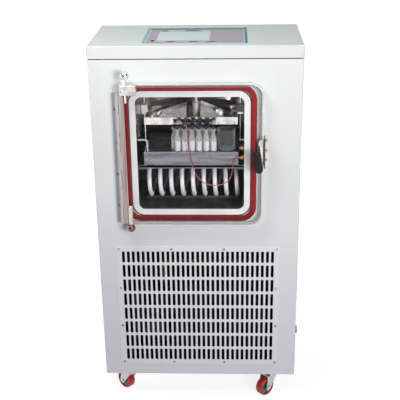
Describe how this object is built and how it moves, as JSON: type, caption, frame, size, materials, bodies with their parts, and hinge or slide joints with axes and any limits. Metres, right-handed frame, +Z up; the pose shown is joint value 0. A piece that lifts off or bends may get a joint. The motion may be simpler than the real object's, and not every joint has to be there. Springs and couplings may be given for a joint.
{
  "type": "freeze dryer",
  "caption": "Free-standing shelf freeze dryer: clear hinged door, red gasket, heated shelf with vials, press plate, frosted coil, ventilated base on casters",
  "frame": {"origin": "on the floor, under the centre of the whole part", "axes": "+X to the right seen from the front, +Y to the back, +Z up; the door faces -Y"},
  "size_m": [0.657, 0.4442, 1.2315],
  "materials": {
    "painted_panel": "powder coat, satin",
    "cap_paint": "powder coat, satin",
    "zinc_steel": "zinc plated",
    "stainless_brushed": "brushed stainless",
    "stainless_polished": "polished stainless",
    "chrome_balls": "chromed",
    "clear_acrylic": "clear, polished",
    "clear_glass": "clear",
    "red_silicone": "smooth silicone",
    "black_rubber": "moulded",
    "black_plastic": "moulded",
    "white_nylon": "machined",
    "foam": "rigid foam",
    "teal_print": "printed film",
    "screen_glass": "display glass",
    "lamp_lens": "lens",
    "frost": "frosted tube",
    "copper": "bare copper",
    "brass": "turned",
    "fin_aluminium": "finned",
    "compressor_paint": "gloss black",
    "pale_tube": "tube",
    "probe_lead": "silicone lead",
    "caster_core": "moulded core, red tread"
  },
  "bodies": {
    "cabinet": {"base_pan": "painted_panel", "inner_frame": "painted_panel", "front_panel": "painted_panel", "side_panel_left": "painted_panel", "side_panel_right": "painted_panel", "rear_panel": "painted_panel", "top_cap": "cap_paint", "panel_screws": "zinc_steel", "control_bezel": "teal_print", "display_screen": "screen_glass", "indicator_lamp": "lamp_lens", "grille_panel": "painted_panel", "chamber_box": "stainless_brushed", "chamber_insulation": "foam", "door_gasket": "red_silicone", "shelf_box": "stainless_brushed", "shelf_rails": "stainless_brushed", "lower_shelf": "stainless_brushed", "vials": "clear_glass", "stoppers": "black_rubber", "glass_jar": "clear_glass", "fluid_tubes": "pale_tube", "brass_fittings": "brass", "condenser_coil": "frost", "probe_wire": "probe_lead", "guide_rods": "stainless_polished", "press_drive": "black_plastic", "compressor": "compressor_paint", "compressor_feet": "black_rubber", "heat_exchanger": "fin_aluminium", "fan_shroud": "zinc_steel", "fan_motor": "black_plastic", "refrigerant_pipes": "copper", "electrical_box": "painted_panel", "vacuum_port": "stainless_polished", "power_inlet": "black_plastic", "drain_valve_body": "brass", "hinge_leaf_fixed": "stainless_brushed", "hinge_rod": "stainless_polished", "latch_post": "stainless_polished", "caster_plates": "zinc_steel"},
    "fan": {"fan_blades": "black_plastic"},
    "valve_knob": {"drain_valve_knob": "black_plastic"},
    "door": {"door_plate": "clear_acrylic", "hinge_leaf_door": "stainless_brushed", "hinge_blocks": "stainless_polished", "ball_pins": "chrome_balls", "latch_rose": "stainless_polished"},
    "latch": {"latch_knob": "black_plastic"},
    "press": {"press_plate": "stainless_polished", "press_spindle": "stainless_polished", "guide_blocks": "white_nylon"},
    "caster_front_left": {"caster_fork_front_left": "zinc_steel"},
    "wheel_front_left": {"caster_wheel_front_left": "caster_core"},
    "caster_front_right": {"caster_fork_front_right": "zinc_steel"},
    "wheel_front_right": {"caster_wheel_front_right": "caster_core"},
    "caster_rear_left": {"caster_fork_rear_left": "zinc_steel"},
    "wheel_rear_left": {"caster_wheel_rear_left": "caster_core"},
    "caster_rear_right": {"caster_fork_rear_right": "zinc_steel"},
    "wheel_rear_right": {"caster_wheel_rear_right": "caster_core"}
  },
  "joints": [
    {"name": "door_swing", "type": "hinge", "parent": "cabinet", "child": "door", "pos_m": [-0.237, -0.17515, 0.873], "axis": [0, 0, -1], "range_deg": [0, 135]},
    {"name": "latch_turn", "type": "hinge", "parent": "door", "child": "latch", "pos_m": [0.188, -0.18785, 0.885], "axis": [0, -1, 0], "range_deg": [0, 90]},
    {"name": "press_travel", "type": "slide", "parent": "cabinet", "child": "press", "axis": [0, 0, 1], "range_m": [-0.06, 0.02]},
    {"name": "fan_spin", "type": "hinge", "parent": "cabinet", "child": "fan", "pos_m": [0.075, -0.05385, 0.2445], "axis": [0, 1, 0], "continuous": true},
    {"name": "valve_turn", "type": "hinge", "parent": "cabinet", "child": "valve_knob", "pos_m": [0.328, -0.08785, 0.234], "axis": [1, 0, 0], "range_deg": [0, 90]},
    {"name": "swivel_front_left", "type": "hinge", "parent": "cabinet", "child": "caster_front_left", "pos_m": [-0.244, -0.10985, 0.08], "axis": [0, 0, 1], "continuous": true},
    {"name": "roll_front_left", "type": "hinge", "parent": "caster_front_left", "child": "wheel_front_left", "pos_m": [-0.2638, -0.09005, 0.0325], "axis": [-0.7071, -0.7071, 0], "continuous": true},
    {"name": "swivel_front_right", "type": "hinge", "parent": "cabinet", "child": "caster_front_right", "pos_m": [0.244, -0.10985, 0.08], "axis": [0, 0, 1], "continuous": true},
    {"name": "roll_front_right", "type": "hinge", "parent": "caster_front_right", "child": "wheel_front_right", "pos_m": [0.2242, -0.12965, 0.0325], "axis": [0.7071, -0.7071, 0], "continuous": true},
    {"name": "swivel_rear_left", "type": "hinge", "parent": "cabinet", "child": "caster_rear_left", "pos_m": [-0.244, 0.15415, 0.08], "axis": [0, 0, 1], "continuous": true},
    {"name": "roll_rear_left", "type": "hinge", "parent": "caster_rear_left", "child": "wheel_rear_left", "pos_m": [-0.23, 0.1299, 0.0325], "axis": [0.866, 0.5, 0], "continuous": true},
    {"name": "swivel_rear_right", "type": "hinge", "parent": "cabinet", "child": "caster_rear_right", "pos_m": [0.244, 0.15415, 0.08], "axis": [0, 0, 1], "continuous": true},
    {"name": "roll_rear_right", "type": "hinge", "parent": "caster_rear_right", "child": "wheel_rear_right", "pos_m": [0.21975, 0.16815, 0.0325], "axis": [-0.5, -0.866, 0], "continuous": true}
  ]
}
